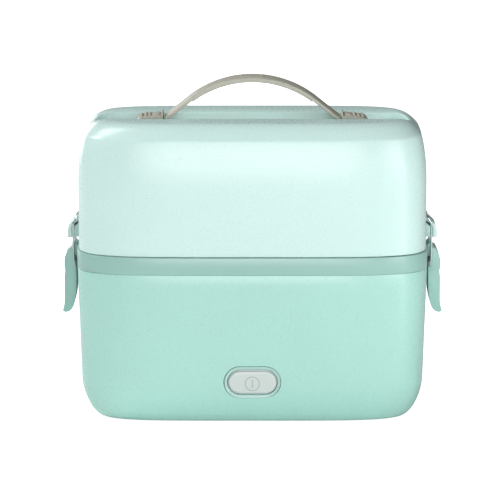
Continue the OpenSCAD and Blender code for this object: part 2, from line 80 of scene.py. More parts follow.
# power switch, on the front, and mains inlet, at the same height on the rear
SWITCH_Z, SWITCH_FRONT, SWITCH_BACK = 32.4, -58.2, -50
SURROUND_W, SURROUND_H = 38.3, 22.1
CUP_W, CUP_H = 33.6, 16.8
CAP_W, CAP_H, CAP_BACK = 33, 16.2, -53.2
SPRING_R, SPRING_WIRE_R, SPRING_TURNS = 3.75, 0.35, 5
SPRING_FRONT, SPRING_BACK, SPRING_SEAT = -52.75, -47.65, -47.3
SEAT_HALF_W, SEAT_HALF_H, SEAT_R, SEAT_FACE = 25.2, 12.2, 4.2, 56.4
INLET_HALF_W, INLET_HALF_H, INLET_R, INLET_BACK = 13.8, 10.3, 3, 48
INLET_SCREW_X, INLET_SCREW_R = 20, 1.75

# strap and its sliders
STRAP_HALF, STRAP_TOP, ARCH_R = 10.5, 233.1, 71.0
GRIP_T, STRAP_T = 3.2, 2.4
SLIDER_HALF, SLOT_HALF = 10.2, 4.3

# latches
LEVER_HALF, POCKET_HALF, FLANK_HALF = 11, 9.4, 10.65
BAIL_PIVOT = (121.9, 103.2)
BAIL_HALF, BAIL_STUB, BAIL_LEG_X, BAIL_WIRE_R = 12.0, 9.6, 122.5, 0.75
BAR_X, BAR_Z = 119.55, 137.6
LID_WALL_X = 118.45
CATCH_HALF, CATCH_CORE_HALF = 10.4, 8


# ---------- camera ----------
def place_camera():
    """The photograph's view: 2 m away, 11.5 degrees above the horizon."""
    distance, tilt = 2.0, math.radians(11.5)
    target = Vector((-1.6, 0, 111.9)) * MM
    camera = bpy.data.objects.new("camera", bpy.data.cameras.new("camera"))
    bpy.context.scene.collection.objects.link(camera)
    camera.data.sensor_width = 36
    camera.data.lens = 208.9
    camera.data.clip_end = 20
    camera.location = target + Vector((0, -math.cos(tilt), math.sin(tilt))) * distance
    camera.rotation_euler = (math.pi / 2 - tilt, 0, 0)
    bpy.context.scene.camera = camera


place_camera()


# ---------- light ----------
def linear(hex_colour):
    """An sRGB hex colour as linear RGBA."""
    parts = [int(hex_colour[i : i + 2], 16) / 255 for i in (1, 3, 5)]
    return [p / 12.92 if p <= 0.04045 else ((p + 0.055) / 1.055) ** 2.4 for p in parts] + [1.0]


def add_node(tree, kind, settings=None, **sockets):
    """A shader node with its settings; a socket's value is a number, a colour or a node's output.

    A socket is named with underscores for spaces, or i0, i1 and so on for its place in the row.
    """
    made = tree.nodes.new("ShaderNode" + kind)
    for key, value in (settings or {}).items():
        setattr(made, key, value)
    for key, value in sockets.items():
        by_place = key[0] == "i" and key[1:].isdigit()
        socket = made.inputs[int(key[1:]) if by_place else key.replace("_", " ")]
        if isinstance(value, bpy.types.NodeSocket):
            tree.links.new(value, socket)
        else:
            socket.default_value = value
    return made


def lamp(name, place, aim, size, power):
    """A soft white area lamp at a place in metres, turned to its aim; the power is in watts."""
    data = bpy.data.lights.new(name, "AREA")
    data.shape = "RECTANGLE"
    data.size, data.size_y = size
    data.energy = power
    made = bpy.data.objects.new(name, data)
    made.location = place
    made.visible_camera = False
    made.rotation_euler = (Vector(aim) - Vector(place)).to_track_quat("-Z", "Y").to_euler()
    bpy.context.scene.collection.objects.link(made)


def light_scene():
    """A dim studio, a little lighter on its left, with six lamps; the camera sees plain white."""
    scene = bpy.context.scene
    scene.view_settings.view_transform = "Standard"
    world = bpy.data.worlds.new("studio")
    scene.world = world
    world.use_nodes = True
    tree = world.node_tree
    tree.nodes.clear()
    white_paint = linear("#ffffff")
    way = add_node(tree, "SeparateXYZ", Vector=add_node(tree, "TexCoord").outputs["Generated"])
    fall = add_node(tree, "MapRange", Value=way.outputs[0], From_Min=-1.0, From_Max=1.0,
                    To_Min=0.14, To_Max=0.05)
    dim = add_node(tree, "Background", Color=white_paint, Strength=fall.outputs[0])
    white = add_node(tree, "Background", Color=white_paint, Strength=1.0)
    rays = add_node(tree, "LightPath")
    seen = add_node(tree, "Math", {"operation": "MAXIMUM"}, i0=rays.outputs["Is Camera Ray"],
                    i1=rays.outputs["Is Transmission Ray"])
    sky = add_node(tree, "MixShader", i0=seen.outputs[0], i1=dim.outputs[0], i2=white.outputs[0])
    add_node(tree, "OutputWorld", Surface=sky.outputs[0])
    centre = (0, 0, 0.1)
    lamp("front", (0, -2, 0.5), centre, (0.9, 0.9), 16.4)
    lamp("front_right", (1.3, -1.6, 0.5), centre, (0.9, 0.9), 12.8)
    # the narrow highlight down the body's front right corner
    lamp("side_strip", (0.3, -0.21, 0.125), (0.1, -0.05, 0.125), (0.05, 0.25), 0.12)
    lamp("high_left", (-0.8, 0.5, 1.8), centre, (0.6, 0.6), 8.5)
    lamp("upper_left", (-1.3, 0.2, 1.3), centre, (0.6, 0.6), 15.5)
    lamp("back_left", (-1.0, 1.8, 0.3), centre, (0.9, 0.9), 12)


light_scene()


# ---------- materials ----------
def blank_material(name):
    """A new material with an empty node tree."""
    made = bpy.data.materials.new(name)
    made.use_nodes = True
    made.node_tree.nodes.clear()
    return made, made.node_tree


def moulded(name, colour, roughness=0.28, grain=0.9, depth=0.006, mottle=0.02):
    """Injection-moulded plastic: even colour, a faint cloudiness, fine spark-eroded grain, soft gloss.

    grain is the bumps' spacing in mm, drawn coarser than the real 0.1 mm so that it shows, and
    depth is their height in mm. mottle is how far the colour's brightness wanders over 35 mm.
    """
    made, tree = blank_material(name)
    coords = add_node(tree, "TexCoord").outputs["Object"]
    cloud = add_node(tree, "TexNoise", Vector=coords, Scale=1 / (35 * MM), Detail=2.0)
    shade = add_node(tree, "MapRange", Value=cloud.outputs[0], To_Min=1 - mottle, To_Max=1 + mottle)
    tint = add_node(tree, "HueSaturation", Color=linear(colour), Value=shade.outputs[0])
    grit = add_node(tree, "TexNoise", Vector=coords, Scale=1 / (grain * MM), Detail=3.0)
    relief = add_node(tree, "Bump", Height=grit.outputs[0], Distance=depth * MM, Strength=0.6)
    spread = add_node(tree, "MapRange", Value=grit.outputs[0], To_Min=roughness - 0.04,
                      To_Max=roughness + 0.04)
    skin = add_node(tree, "BsdfPrincipled", Base_Color=tint.outputs[0], Roughness=spread.outputs[0],
                    Normal=relief.outputs[0], IOR=1.5)
    add_node(tree, "OutputMaterial", Surface=skin.outputs[0])
    return made


def metal(name, colour, roughness, stretch=(1, 1, 1), depth=0.01):
    """Steel or aluminium with fine tool marks, which the stretch draws out along one way.

    The marks are 0.8 mm apart, coarser than the real ones, so that they show.
    """
    made, tree = blank_material(name)
    coords = add_node(tree, "TexCoord").outputs["Object"]
    turned = add_node(tree, "Mapping", Vector=coords, Scale=stretch)
    lines = add_node(tree, "TexNoise", Vector=turned.outputs[0], Scale=1 / (0.8 * MM), Detail=4.0)
    relief = add_node(tree, "Bump", Height=lines.outputs[0], Distance=depth * MM, Strength=0.5)
    spread = add_node(tree, "MapRange", Value=lines.outputs[0], To_Min=roughness - 0.06,
                      To_Max=roughness + 0.06)
    skin = add_node(tree, "BsdfPrincipled", Base_Color=linear(colour), Metallic=1.0,
                    Roughness=spread.outputs[0], Normal=relief.outputs[0])
    add_node(tree, "OutputMaterial", Surface=skin.outputs[0])
    return made


def frosted(name, colour):
    """Frosted see-through polypropylene: what lies below shows as a soft shade.

    The etched grain is drawn 1.2 mm wide, coarser than the real one, so that it shows.
    """
    made, tree = blank_material(name)
    coords = add_node(tree, "TexCoord").outputs["Object"]
    grit = add_node(tree, "TexNoise", Vector=coords, Scale=1 / (1.2 * MM), Detail=2.0)
    relief = add_node(tree, "Bump", Height=grit.outputs[0], Distance=0.02 * MM, Strength=0.5)
    skin = add_node(tree, "BsdfPrincipled", Base_Color=linear(colour), Roughness=0.35,
                    Normal=relief.outputs[0], IOR=1.49, Transmission_Weight=0.55)
    add_node(tree, "OutputMaterial", Surface=skin.outputs[0])
    return made


FINISH = {
    # moulded polypropylene of the lid: very pale mint with broad, soft highlights
    "lid_mint": moulded("pale_mint_polypropylene", "#cfece7"),
    # moulded polypropylene of the base: a fuller mint, with the same soft gloss
    "base_mint": moulded("mint_polypropylene", "#addcd1"),
    # moulded polypropylene of the band and the levers: a greyer mint, a little duller
    "band_mint": moulded("grey_mint_polypropylene", "#99c2b9", roughness=0.3),
    # moulded polypropylene of the inner cover: a clean cool white
    "liner_white": moulded("white_polypropylene", "#e9eeec"),
    # pressed silicone of the seal: a milky white with hardly a highlight
    "silicone": moulded("white_silicone", "#ecece6", roughness=0.55, depth=0.02),
    # soft thermoplastic rubber of the strap: warm beige with a dry, matt skin
    "handle_beige": moulded("beige_soft_rubber", "#b5b3a6", roughness=0.5, grain=0.6, depth=0.03),
    # acetal of the sliders' retainers: a waxy grey
    "retainer_grey": moulded("grey_acetal", "#8c8a80", roughness=0.4),
    # rubber of the feet: dull grey, with no gloss
    "foot_rubber": moulded("grey_rubber", "#6f7a78", roughness=0.7, depth=0.03),
    # fired ceramic of the heater and thermostat: cream and chalky
    "ceramic_cream": moulded("cream_ceramic", "#dcd6c6", roughness=0.6, depth=0.02),
    # silicone sleeves of the wiring: beige grey and matt
    "sleeve_grey": moulded("silicone_sleeve", "#c2bcac", roughness=0.55),
    # glass-filled nylon of the inlet and switch: near black, slightly rough
    "inlet_dark": moulded("dark_nylon", "#454d4f", roughness=0.45, depth=0.02),
    # moulded acrylic of the button: a light satin grey
    "button_grey": moulded("satin_grey_acrylic", "#cdd6d3", roughness=0.3),
    # drawn and polished steel of wires, pins and screws: bright, with sharp highlights
    "bright_steel": metal("polished_steel_wire", "#c9cccd", 0.18, depth=0.003),
    # brushed stainless steel of the bowls and tub: soft streaks round the walls
    "brushed_steel": metal("brushed_stainless_steel", "#c4c6c8", 0.3, (1, 1, 14)),
    # cast aluminium of the heating plate: a dull, pitted grey
    "plate_aluminium": metal("cast_aluminium", "#b8babf", 0.45, depth=0.05),
    # moulded, frosted polypropylene of the food lids and tray
    "clear_plastic": frosted("frosted_polypropylene", "#e4f0ef"),
}
# pad-printed ink of the power mark: flat grey, with no grain of its own
MARK_INK = moulded("grey_print", "#aab5b2", roughness=0.4, depth=0.0)
# moulded trim round the button: between the base's mint and the button's grey
SURROUND = moulded("grey_mint_trim", "#aed2ca", roughness=0.3)
# the catches' matt skin, so that their sloping roofs don't mirror the light behind them, in the lid's mint
# darkened a little as painted shade on the catches
CATCH = moulded("matt_pale_mint_with_painted_shade", "#c5e3dd", roughness=0.6)


def dress_frame():
    """Every carried-over node gets the finish of its slot."""
    slots = {s["node"]: s["material_slot"] for s in frame["record"]["subparts"]}
    for name, obj in frame["nodes"].items():
        obj.data.materials.clear()
        obj.data.materials.append(FINISH[slots[name]])


dress_frame()


# ---------- mesh tools ----------
def put_in_order(bm, points):
    """Orders the points as given, and the edges and faces by their points.

    The operators leave them in an order that changes from run to run, and the cuts and rounds that
    come later follow that order.
    """
    for number, vert in enumerate(points):
        vert.index = number
    bm.verts.sort()
    count = len(bm.verts)
    for parts in (bm.edges, bm.faces):
        parts.sort(key=lambda part: min(v.index for v in part.verts) * count
                   + max(v.index for v in part.verts))
        parts.index_update()


def loft(rings, looped=False):
    """A skin through rings of points, each ring extruded from the one before.

    The ends are capped unless looped, when the last ring lies on the first and merges with it.
    """
    bm = bmesh.new()
    last = bmesh.ops.create_circle(bm, segments=len(rings[0]), radius=1)["verts"]
    points = list(last)
    for vert, place in zip(last, rings[0]):
        vert.co = place
    edges = list(bm.edges)
    if not looped:
        bmesh.ops.contextual_create(bm, geom=edges)
    for ring in rings[1:]:
        out = bmesh.ops.extrude_edge_only(bm, edges=edges)["geom"]
        fresh = {g for g in out if isinstance(g, bmesh.types.BMVert)}
        before = set(last)
        partner = {}
        for vert in fresh:
            for edge in vert.link_edges:
                if edge.other_vert(vert) in before:
                    partner[edge.other_vert(vert)] = vert
        last = [partner[v] for v in last]
        points += last
        for vert, place in zip(last, ring):
            vert.co = place
        edges = [bm.edges.get(pair) for pair in zip(last, last[1:] + last[:1])]
    if not looped:
        bmesh.ops.contextual_create(bm, geom=edges)
    put_in_order(bm, points)
    if looped:
        bmesh.ops.remove_doubles(bm, verts=bm.verts, dist=1e-4)
        put_in_order(bm, list(bm.verts))
    bmesh.ops.recalc_face_normals(bm, faces=bm.faces)
    return bm


def shade_smooth(mesh, smooth_angle):
    """Smooth shading, with sharp edges past an angle in degrees."""
    for face in mesh.polygons:
        face.use_smooth = True
    mesh.set_sharp_from_angle(angle=math.radians(smooth_angle))


def as_object(bm, name, finish=None, smooth_angle=35):
    """A bmesh in millimetres as an object in metres; the finish is a slot's name or a material."""
    bmesh.ops.scale(bm, vec=(MM, MM, MM), verts=bm.verts)
    mesh = bpy.data.meshes.new(name)
    bm.to_mesh(mesh)
    bm.free()
    obj = bpy.data.objects.new(name, mesh)
    bpy.context.scene.collection.objects.link(obj)
    if finish:
        mesh.materials.append(FINISH[finish] if finish in FINISH else finish)
    shade_smooth(mesh, smooth_angle)
    return obj


def settle(obj, smooth_angle=35):
    """Applies the modifiers to the mesh."""
    depsgraph = bpy.context.evaluated_depsgraph_get()
    mesh = bpy.data.meshes.new_from_object(obj.evaluated_get(depsgraph))
    obj.modifiers.clear()
    obj.data = mesh
    shade_smooth(mesh, smooth_angle)


def carve(obj, cutters, smooth_angle=35):
    """Cuts solids away from a piece; on a piece that is also softened, this comes first."""
    for cutter in cutters:
        cut = obj.modifiers.new("cut", "BOOLEAN")
        cut.operation, cut.solver, cut.object = "DIFFERENCE", "EXACT", cutter
        bpy.context.view_layer.update()
        settle(obj, smooth_angle)
        bpy.data.objects.remove(cutter)


def soften(obj, width, segments=3, angle=30):
    """Rounds the edges sharper than an angle, as a mould's corners are; the width is in mm."""
    round_off = obj.modifiers.new("round", "BEVEL")
    round_off.width, round_off.segments = width * MM, segments
    round_off.limit_method, round_off.angle_limit = "ANGLE", math.radians(angle)
    bpy.context.view_layer.update()
    settle(obj)


def fit(obj, body, slot, *nodes):
    """The piece rides on its body and stands for its nodes; the slot is not used."""
    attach(obj, body)
    if nodes:
        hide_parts(*nodes)


def arc_steps(count, start=0, end=90):
    """Turn angles in radians, evenly from start to end in degrees."""
    return [math.radians(start + (end - start) * i / count) for i in range(count + 1)]


def full_turn(count):
    """Turn angles in radians once round, with the first not repeated."""
    return [math.tau * i / count for i in range(count)]


def rect_outline(half_a, half_b, r, steps=5):
    """A rounded rectangle as (a, b) pairs."""
    corners = []
    for qa, qb, start in ((1, 1, 0), (-1, 1, 90), (-1, -1, 180), (1, -1, 270)):
        corners += [(qa * (half_a - r) + r * math.cos(t), qb * (half_b - r) + r * math.sin(t))
                    for t in arc_steps(steps, start, start + 90)]
    return corners


def pill_outline(width, height, out=0.0, steps=24):
    """A pill round the origin as (across, up) pairs, moved outwards by out."""
    r = height / 2 + out
    run = width / 2 - height / 2
    right = [(run + r * math.cos(t), r * math.sin(t)) for t in arc_steps(steps, -90, 90)]
    left = [(-run + r * math.cos(t), r * math.sin(t)) for t in arc_steps(steps, 90, 270)]
    return right + left


def box_cutter(low, high, side=1):
    """A box to cut with, drawn on the right and mirrored to the left for side -1."""
    size = [h - l for l, h in zip(low, high)]
    middle = [(h + l) / 2 for l, h in zip(low, high)]
    middle[0] *= side
    bm = bmesh.new()
    bmesh.ops.create_cube(bm, size=1)
    bmesh.ops.scale(bm, vec=size, verts=bm.verts)
    bmesh.ops.translate(bm, vec=middle, verts=bm.verts)
    return as_object(bm, "box_cut")


def upright_cutter(outline, z0, z1, centre=(0, 0)):
    """A plan outline cut straight up from z0 to z1."""
    rings = [[Vector((centre[0] + a, centre[1] + b, z)) for a, b in outline] for z in (z0, z1)]
    return as_object(loft(rings), "upright_cut")


def level_cutter(outline, y0, y1, x=0.0):
    """An outline at the switch's height cut straight back from y0 to y1."""
    rings = [[Vector((x + a, y, SWITCH_Z + b)) for a, b in outline] for y in (y0, y1)]
    return as_object(loft(rings), "level_cut")


def side_profile(outline, half, side):
    """A side view drawn as (x, z) pairs on the right, extruded to both sides of the middle."""
    return loft([[Vector((x * side, y, z)) for x, z in outline] for y in (-half, half)])


# ---------- plan of the body ----------
def plan_point(turn, inset):
    """A point on the squared-oval plan, inset from the band's outline."""
    c, s = math.cos(turn), math.sin(turn)
    return ((HALF_W - inset) * math.copysign(abs(c) ** (2 / PLAN_POWER), c),
            (HALF_D - inset) * math.copysign(abs(s) ** (2 / PLAN_POWER), s))


def even_turns(count, fine=4000):
    """Turn angles that space points evenly along the plan's curve, found on a finer one."""
    turns = [math.tau * i / fine for i in range(fine + 1)]
    points = [plan_point(t, 0) for t in turns]
    run = [0.0]
    for a, b in zip(points, points[1:]):
        run.append(run[-1] + math.dist(a, b))
    even, i = [], 0
    for k in range(count):
        want = run[-1] * k / count
        while run[i + 1] < want:
            i += 1
        share = (want - run[i]) / (run[i + 1] - run[i])
        even.append(turns[i] + share * (turns[i + 1] - turns[i]))
    return even


TURNS = even_turns(PLAN_STEPS)


def plan_rings(outline):
    """Rings of the plan at each (inset, height)."""
    return [[Vector((*plan_point(t, inset), z)) for t in TURNS] for inset, z in outline]


# ---------- lid ----------
def lid_wall_at(s):
    """The lid's wall from where it starts to lean in, s = 0, to the crease, s = 1."""
    return (LID_INSET + (CREASE_INSET - LID_INSET) * s**LID_CURVE_POWER,
            LID_CURVE_Z + (CREASE_Z - LID_CURVE_Z) * s)


def lid_shoulder_at(s):
    """The lid's shoulder from the crease, s = 0, to the flat top, s = 1."""
    return (CREASE_INSET + (TOP_INSET - CREASE_INSET) * s,
            CREASE_Z + (LID_TOP - CREASE_Z) * (1 - (1 - s) ** SHOULDER_POWER))


def lid_side():
    """The lid's outer side, as (inset, height) from the rim up to the flat top."""
    side = [(LID_INSET + 0.5, LID_BOTTOM), (LID_INSET + 0.15, LID_BOTTOM + 0.2),
            (LID_INSET, LID_BOTTOM + 0.6)]
    straight = LID_BOTTOM + 1
    side += [(LID_INSET, straight + (LID_CURVE_Z - straight) * i / 6) for i in range(6)]
    side += [lid_wall_at(i / 24) for i in range(24)]
    # a short curve rounds the crease
    start, corner, end = lid_wall_at(0.98), lid_wall_at(1), lid_shoulder_at(0.05)
    for i in range(7):
        t = i / 6
        side.append(tuple((1 - t) ** 2 * a + 2 * t * (1 - t) * b + t * t * c
                          for a, b, c in zip(start, corner, end)))
    side += [lid_shoulder_at(0.05 + 0.95 * i / 24) for i in range(1, 25)]
    return side


def dish(x, y):
    """How far the lid's top dips at a point of its plan, deepest at the channel's lip."""
    run, across = CHANNEL_HALF - CHANNEL_R, CHANNEL_HALF_W - CHANNEL_R
    beyond = math.hypot(max(abs(x) - run, 0), max(abs(y) - across, 0)) - CHANNEL_R
    share = min(max(beyond / DISH_RUN, 0), 1)
    return DISH_DEPTH * (1 - share) ** 2


def lid_height(x, y):
    """Height of the lid's outer top over a point of its plan, by halving the range of its inset."""
    low, high = 0.0, HALF_D
    for _ in range(40):
        inset = (low + high) / 2
        along, across = abs(x) / (HALF_W - inset), abs(y) / max(HALF_D - inset, 1e-3)
        if along**PLAN_POWER + across**PLAN_POWER < 1:
            low = inset
        else:
            high = inset
    s = (low - CREASE_INSET) / (TOP_INSET - CREASE_INSET)
    return lid_shoulder_at(min(s, 1))[1] - dish(x, y)


def channel_ring(out, height, follow=None):
    """The channel's outline moved outwards by out, with points at most 6 mm apart.

    With follow, its height runs over the lid's top by that much.
    """
    corners = rect_outline(CHANNEL_HALF + out, CHANNEL_HALF_W + out, CHANNEL_R + out, 16)
    ring = []
    for a, b in zip(corners, corners[1:] + corners[:1]):
        cuts = int(math.dist(a, b) // 6) + 1
        ring += [(a[0] + (b[0] - a[0]) * i / cuts, a[1] + (b[1] - a[1]) * i / cuts)
                 for i in range(cuts)]
    return [Vector((x, y, height if follow is None else lid_height(x, y) + follow)) for x, y in ring]


def channel_cutter():
    """The channel's space: a round at the floor, upright walls, and a rounded lip at the top."""
    floor = CHANNEL_FLOOR
    lip, past_lip = CHANNEL_LIP, CHANNEL_LIP + 0.05
    rings = [channel_ring(out, floor + up)
             for out, up in ((-1.6, 0), (-0.9, 0.15), (-0.35, 0.6), (0, 1.6))]
    rings += [channel_ring(lip * (1 - math.cos(t)), 0, follow=lip * (math.sin(t) - 1)) for t in arc_steps(5)]
    rings += [channel_ring(past_lip, 0, follow=0.6), channel_ring(past_lip, LID_TOP + 5.5)]
    return as_object(loft(rings), "channel_cut")


def lid_moulding():
    """The lid's shell, open below, with the channel, the sliders' slots and the vent's well."""
    inner = [(CREASE_INSET + WALL, CREASE_Z - 0.7), (LID_INSET + WALL, LID_CURVE_Z),
             (LID_INSET + WALL, LID_BOTTOM)]
    rings = plan_rings(inner + lid_side())
    rings += plan_rings([(TOP_INSET + 3 * i, LID_TOP) for i in range(1, 12)])
    for ring in rings[len(inner):]:
        for place in ring:
            if place.z > CREASE_Z:
                place.z -= dish(place.x, place.y)
    obj = as_object(loft(rings), "lid_moulding", "lid_mint")
    cuts = [channel_cutter()]
    cuts += [box_cutter((65.7, -SLOT_HALF, 195), (83.3, SLOT_HALF, 201), side) for side in (-1, 1)]
    cuts.append(upright_cutter(pill_outline(VENT_W, VENT_D), LID_TOP - 6, LID_TOP + 3, VENT_PLACE))
    carve(obj, cuts)
    fit(obj, "lid", "lid_mint", "lid_shell")


lid_moulding()


# ---------- band and base ----------
def band_moulding():
    """The darker ring that the lid's rim meets, with a small round at both edges and a ledge inside."""
    rings = plan_rings([(0.5, BAND_BOTTOM), (0.15, BAND_BOTTOM + 0.15), (0, BAND_BOTTOM + 0.5),
                        (0, BAND_TOP - 0.6), (0.15, BAND_TOP - 0.2), (0.6, BAND_TOP),
                        (LEDGE_OUT - 0.4, BAND_TOP), (LEDGE_OUT, BAND_TOP - 0.3), (LEDGE_OUT, LEDGE_Z),
                        (LEDGE_IN, LEDGE_Z), (LEDGE_IN, BAND_BOTTOM), (0.5, BAND_BOTTOM)])
    obj = as_object(loft(rings, looped=True), "band_moulding", "band_mint")
    fit(obj, "root", "band_mint", "band_ring")


def base_side():
    """The base's outer side, as (inset, height): a deep round at the foot, then a wall that leans out."""
    low, high = BASE_LOW_INSET, BASE_TOP_INSET
    foot, top = BASE_BOTTOM + ROUND_H, BAND_BOTTOM - 0.5
    side = []
    for t in arc_steps(24)[:0:-1]:
        side.append((low + ROUND_IN * (1 - max(math.cos(t), 0) ** (2 / ROUND_POWER)),
                     BASE_BOTTOM + ROUND_H * (1 - math.sin(t) ** (2 / ROUND_POWER))))
    side += [(low + (high - low) * i / 8, foot + (top - foot) * i / 8) for i in range(9)]
    return side + [(high + 0.12, BAND_BOTTOM - 0.15), (high + 0.45, BAND_BOTTOM)]


def base_moulding():
    """The base's shell, open above, cut for the switch, the mains inlet and the bottom cover."""
    side = base_side()
    inner = [(i + WALL, z) for i, z in side if z >= BASE_BOTTOM + WALL + 2]
    floor = [(BASE_LOW_INSET + ROUND_IN + WALL, BASE_BOTTOM + WALL)]
    obj = as_object(loft(plan_rings(side + inner[::-1] + floor)), "base_moulding", "base_mint")
    rear = HALF_D + 4
    seat = rect_outline(SEAT_HALF_W, SEAT_HALF_H, SEAT_R, 8)
    inlet = rect_outline(INLET_HALF_W, INLET_HALF_H, INLET_R, 8)
    screw = rect_outline(INLET_SCREW_R, INLET_SCREW_R, INLET_SCREW_R, 8)
    cuts = [level_cutter(pill_outline(SURROUND_W, SURROUND_H, 0.3), -62, SWITCH_BACK),
            level_cutter(seat, SEAT_FACE, rear), level_cutter(inlet, INLET_BACK, rear)]
    cuts += [level_cutter(screw, INLET_BACK, rear, x) for x in (-INLET_SCREW_X, INLET_SCREW_X)]
    cover = loft(plan_rings([(COVER_INSET, 1.0), (COVER_INSET, BASE_BOTTOM + 1.5)]))
    cuts += [as_object(cover, "cover_cut"), upright_cutter(pill_outline(UNDER_W, UNDER_D), 1, 8)]
    carve(obj, cuts)
    fit(obj, "root", "base_mint", "base_shell")


band_moulding()
base_moulding()


# ---------- power switch ----------
def front_rings(stations):
    """Pill rings facing the front, from (width, height, out, y)."""
    return [[Vector((a, y, SWITCH_Z + b)) for a, b in pill_outline(w, h, out)]
            for w, h, out, y in stations]


def switch_surround():
    """The dished trim round the button."""
    y = SWITCH_FRONT
    outer = [(SURROUND_W, SURROUND_H, out, y_at)
             for out, y_at in ((0, SWITCH_BACK), (0, y + 0.7), (-0.2, y + 0.25), (-0.5, y + 0.1))]
    cup = [(CUP_W, CUP_H, out, y_at)
           for out, y_at in ((0.8, y + 0.45), (0.3, y + 0.7), (0.1, y + 1.3), (0.1, SWITCH_BACK))]
    trim = loft(front_rings(outer + cup + outer[:1]), looped=True)
    fit(as_object(trim, "switch_surround", SURROUND), "root", "base_mint", "switch_bezel")


def switch_cap():
    """The button's cap, set in from its cup by a narrow groove."""
    y = SWITCH_FRONT
    stations = [(CAP_W, CAP_H, out, y_at) for out, y_at in (
        (0, CAP_BACK), (0, y + 1.6), (-0.4, y + 1.5), (-0.6, y + 0.6), (-0.85, y + 0.2), (-1.3, y),
        (-3.0, y + 0.05))]
    cap = as_object(loft(front_rings(stations)), "switch_cap", "button_grey")
    fit(cap, "power_button", "button_grey", "switch_button")


def power_mark():
    """A printed ring and line, 0.12 mm thick, a little below the middle of the cap."""
    face, ink, low = SWITCH_FRONT + 0.05, 0.12, SWITCH_Z - 0.9
    inner, outer = 4.45, 5.05
    section = [(outer, 0), (inner, 0), (inner, -ink), (outer, -ink), (outer, 0)]
    ring = loft([[Vector((r * math.cos(t), face + h, low + r * math.sin(t))) for t in full_turn(48)]
                 for r, h in section], looped=True)
    line = loft([[Vector((across, face + h, low + up)) for up, across in pill_outline(6, 0.7, 0, 6)]
                 for h in (0, -ink)])
    for shape, name in ((ring, "power_mark_ring"), (line, "power_mark_line")):
        fit(as_object(shape, name, MARK_INK), "power_button", "button_grey")


def switch_spring():
    """The coil behind the button, drawn at one length; the real coil shortens as the button goes in."""
    steps = 24
    rings = []
    for i in range(SPRING_TURNS * steps + 1):
        t = math.tau * i / steps
        y = SPRING_FRONT + (SPRING_BACK - SPRING_FRONT) * i / (SPRING_TURNS * steps)
        ring = []
        for a in full_turn(10):
            r = SPRING_R + SPRING_WIRE_R * math.cos(a)
            ring.append(Vector((r * math.cos(t), y + SPRING_WIRE_R * math.sin(a),
                                SWITCH_Z + r * math.sin(t))))
        rings.append(ring)
    coil = as_object(loft(rings), "switch_spring_coil", "bright_steel", 60)
    fit(coil, "root", "bright_steel", "switch_spring")
    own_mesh(coil)


switch_surround()
switch_cap()
power_mark()
switch_spring()


# ---------- strap handle ----------
def strap_stations():
    """The strap's top line from its middle to its right end, as (x, z, tilt in degrees, thickness)."""
    centre_z = STRAP_TOP - ARCH_R
    stations = [(ARCH_R * math.sin(t), centre_z + ARCH_R * math.cos(t), math.degrees(t), GRIP_T)
                for t in arc_steps(22, 0, 36.0)]
    # the grip ends in a small step, and the thinner strap runs straight down
    x, z, tilt, _ = stations[-1]
    stations += [(x + 0.5, z - 0.37, tilt + 0.6, GRIP_T), (x + 0.9, z - 0.67, tilt + 1.0, STRAP_T)]
    x, z, tilt, _ = stations[-1]
    foot_x, foot_z = 57.6, 206.9
    stations += [(x + (foot_x - x) * i / 8, z + (foot_z - z) * i / 8, 38.3, STRAP_T)
                 for i in range(1, 9)]
    # it turns down at the slider's plate and lies flat beneath the slider
    stations += [(58.8, 206.3, 42, 2.4), (59.5, 205.3, 66, 2.3), (59.8, 203.6, 84, 2.0),
                 (60.2, 202.2, 60, 1.8), (60.9, 201.6, 25, 1.6)]
    return stations + [(x, 201.5, 0, 1.6) for x in (61.8, 68, 74.4)]


def strap_moulding():
    """The strap from end to end, with a notch under each edge of the grip and a hole at each end."""
    right = strap_stations()
    left = [(-x, z, -tilt, t) for x, z, tilt, t in right[:0:-1]]
    rings = []
    for x, z, tilt, thick in left + right:
        up = (math.sin(math.radians(tilt)), math.cos(math.radians(tilt)))
        section = rect_outline(STRAP_HALF, thick / 2, min(0.7, thick * 0.45), 4)
        rings.append([Vector((x - up[0] * (b + thick / 2), a, z - up[1] * (b + thick / 2)))
                      for a, b in section])
    strap = as_object(loft(rings), "strap", "handle_beige", 40)
    cuts = [box_cutter((-4.4, y - 1.3, 229.0), (4.4, y + 1.3, 230.8)) for y in (-10.2, 10.2)]
    cuts += [box_cutter((65.4, -4.4, 198), (76, 4.4, 203), side) for side in (-1, 1)]
    carve(strap, cuts, 40)
    fit(strap, "lid", "handle_beige", "handle_strap")
    return strap


def strap_rim():
    """The low rim round the middle of the grip."""
    section = [(0, -0.3), (0, 0.35), (-0.15, 0.5), (-0.75, 0.5), (-0.9, 0.35), (-0.9, -0.3), (0, -0.3)]
    rings = []
    for out, height in section:
        r = ARCH_R + height
        rings.append([Vector((r * math.sin(run / ARCH_R), y, STRAP_TOP - ARCH_R + r * math.cos(run / ARCH_R)))
                      for run, y in rect_outline(7.6 + out, 6.6 + out, 1.2 + out * 0.5)])
    rim = as_object(loft(rings, looped=True), "strap_rim", "handle_beige")
    fit(rim, "lid", "handle_beige")
    return rim


